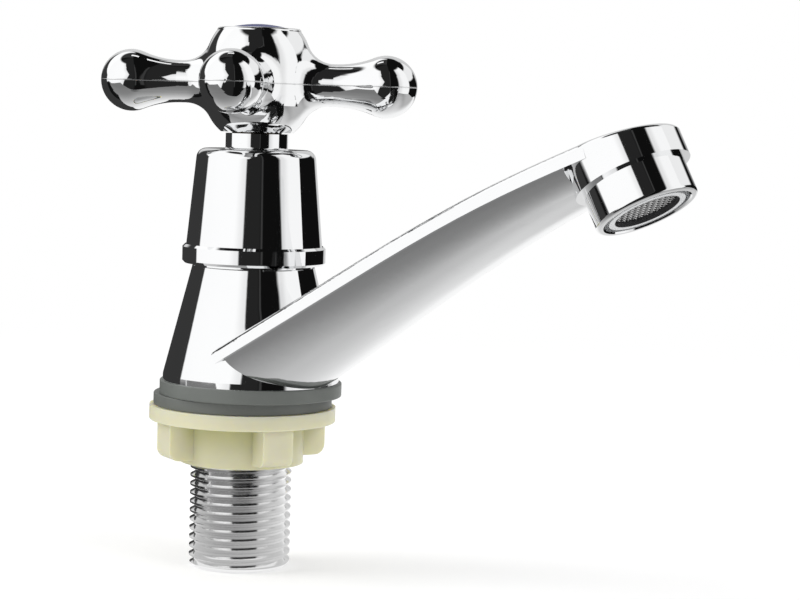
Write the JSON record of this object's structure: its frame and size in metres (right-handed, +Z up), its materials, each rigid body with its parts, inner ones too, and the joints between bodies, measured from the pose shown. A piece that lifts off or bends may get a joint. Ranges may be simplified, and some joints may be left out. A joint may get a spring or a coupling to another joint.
{
  "type": "cross handle tap",
  "caption": "Chromed basin pillar tap with a long rising spout, bell cover, cross handle with ball ends, aerator nozzle, threaded tail, seat rings and plastic backnut.",
  "frame": {"origin": "Middle of the tail at the seat: the plane where the base ring meets the basin, on the tail's axis.", "axes": "+Z up along the tail and the valve, +X the way the spout points, +Y to the left of someone looking along +X."},
  "size_m": [0.1328, 0.0558, 0.1103],
  "materials": {
    "body_chrome": "polished chrome plate",
    "shroud_chrome": "polished chrome plate",
    "collar_chrome": "polished chrome plate",
    "handle_chrome": "polished chrome plate",
    "aerator_chrome": "polished chrome plate",
    "tail_brass": "plated brass, cut thread",
    "housing_brass": "turned brass",
    "spindle_brass": "turned brass",
    "cream_plastic": "moulded, slightly soft sheen",
    "grey_plastic": "matte moulded ring",
    "washer_plastic": "matte moulded washer",
    "gasket_fibre": "pressed red fibre",
    "bush_plastic": "white moulded plastic",
    "insert_plastic": "pale moulded plastic",
    "index_blue": "plain navy disc",
    "ceramic": "lapped alumina ceramic",
    "seal_rubber": "black rubber",
    "screen_steel": "fine stainless mesh",
    "screw_steel": "stainless steel"
  },
  "bodies": {
    "tap": {"tap_body": "body_chrome", "threaded_shank": "tail_brass", "shank_gasket": "gasket_fibre", "base_ring": "grey_plastic", "shroud": "shroud_chrome", "shroud_collar": "collar_chrome", "cartridge_housing": "housing_brass", "bonnet_gasket": "gasket_fibre", "fixed_disc": "ceramic", "seat_seal": "seal_rubber", "aerator_housing": "aerator_chrome", "aerator_insert": "insert_plastic", "aerator_screen": "screen_steel", "filter_screen": "screen_steel", "aerator_washer": "seal_rubber"},
    "handle": {"cross_handle": "handle_chrome", "spline_bush": "bush_plastic", "handle_screw": "screw_steel", "index_disc": "index_blue", "spindle": "spindle_brass", "lower_o_ring": "seal_rubber", "upper_o_ring": "seal_rubber", "thrust_washer": "bush_plastic", "circlip": "screw_steel", "rotating_disc": "ceramic"},
    "washer": {"lower_washer": "washer_plastic"},
    "nut": {"backnut": "cream_plastic"}
  },
  "joints": [
    {"name": "handle_turn", "type": "hinge", "parent": "tap", "child": "handle", "pos_m": [0.0022, 0, 0.06305], "axis": [0, 0, 1], "range_deg": [0, 90]},
    {"name": "washer_travel", "type": "slide", "parent": "tap", "child": "washer", "axis": [0, 0, -1], "range_m": [0, 0.02]},
    {"name": "backnut_turn", "type": "hinge", "parent": "washer", "child": "nut", "pos_m": [0, 0, -0.0082], "axis": [0, 0, -1], "range_deg": [0, 3960]}
  ],
  "couplings": [
    {"joint": "washer_travel", "follows": "backnut_turn", "m_per_rad": 0.00028871}
  ]
}
